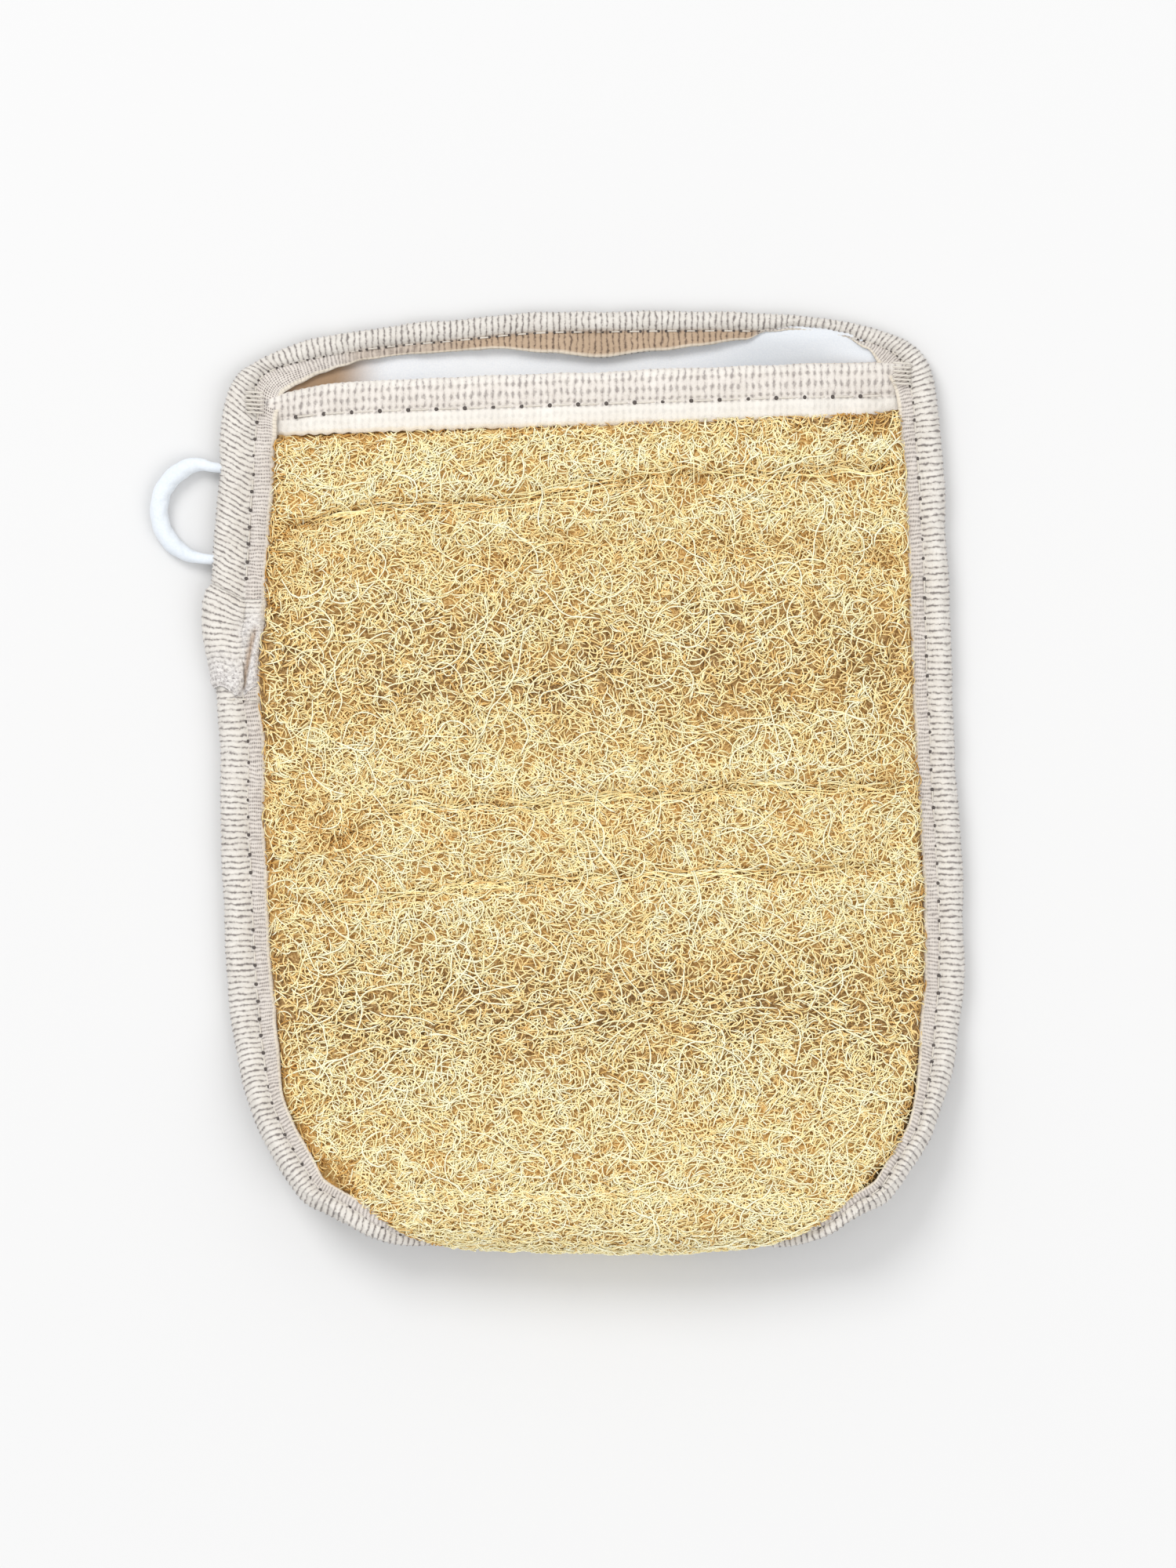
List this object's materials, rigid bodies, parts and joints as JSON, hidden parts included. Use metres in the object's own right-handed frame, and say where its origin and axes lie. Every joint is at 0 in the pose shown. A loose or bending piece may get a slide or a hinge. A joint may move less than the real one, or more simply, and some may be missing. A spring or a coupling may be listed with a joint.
{
  "type": "loofah bath mitt",
  "caption": "Wash mitt with a pocket for the hand: luffa front, terry back, cloth lining, ribbed edge tape and a cord loop for hanging.",
  "frame": {"origin": "centre of the mitt's outline, on the surface that it lies on, without the hanging loop", "axes": "+X across the palm with the hanging loop on the -X side, +Y from the closed end to the mouth, +Z out of the luffa front"},
  "size_m": [0.1817, 0.2103, 0.0203],
  "materials": {
    "luffa": "coarse net of dried plant fibres",
    "terry": "looped cotton pile",
    "lining": "smooth plain weave",
    "tape": "ribbed cotton tape",
    "thread": "matt spun thread",
    "cord": "soft twisted cord"
  },
  "bodies": {
    "mitt": {"luffa_face": "luffa", "front_lining": "lining", "back_lining": "lining", "terry_back": "terry", "edge_tape": "tape", "tape_end_lap": "tape", "mouth_hem_tape": "tape", "edge_needle_thread": "thread", "edge_bobbin_thread": "thread", "hem_needle_thread": "thread", "hem_bobbin_thread": "thread", "left_corner_tack": "thread", "right_corner_tack": "thread", "lap_tack": "thread", "loop_tails": "cord"},
    "mouth_flap": {"terry_flap": "terry", "lining_flap": "lining", "flap_tape": "tape", "flap_needle_thread": "thread", "flap_bobbin_thread": "thread"},
    "hang_loop": {"hang_loop": "cord"}
  },
  "joints": [
    {"name": "flap_fold", "type": "hinge", "parent": "mitt", "child": "mouth_flap", "pos_m": [-0.0015, 0.0928, 0.0014], "axis": [0.9991, 0.0434, 0], "range_deg": [-80, 80], "stiffness_Nm_per_rad": 0.003},
    {"name": "loop_swing", "type": "hinge", "parent": "mitt", "child": "hang_loop", "pos_m": [-0.08515, 0.0603, 0.0026], "axis": [0.0726, 0.9974, 0], "range_deg": [-90, 90]}
  ]
}
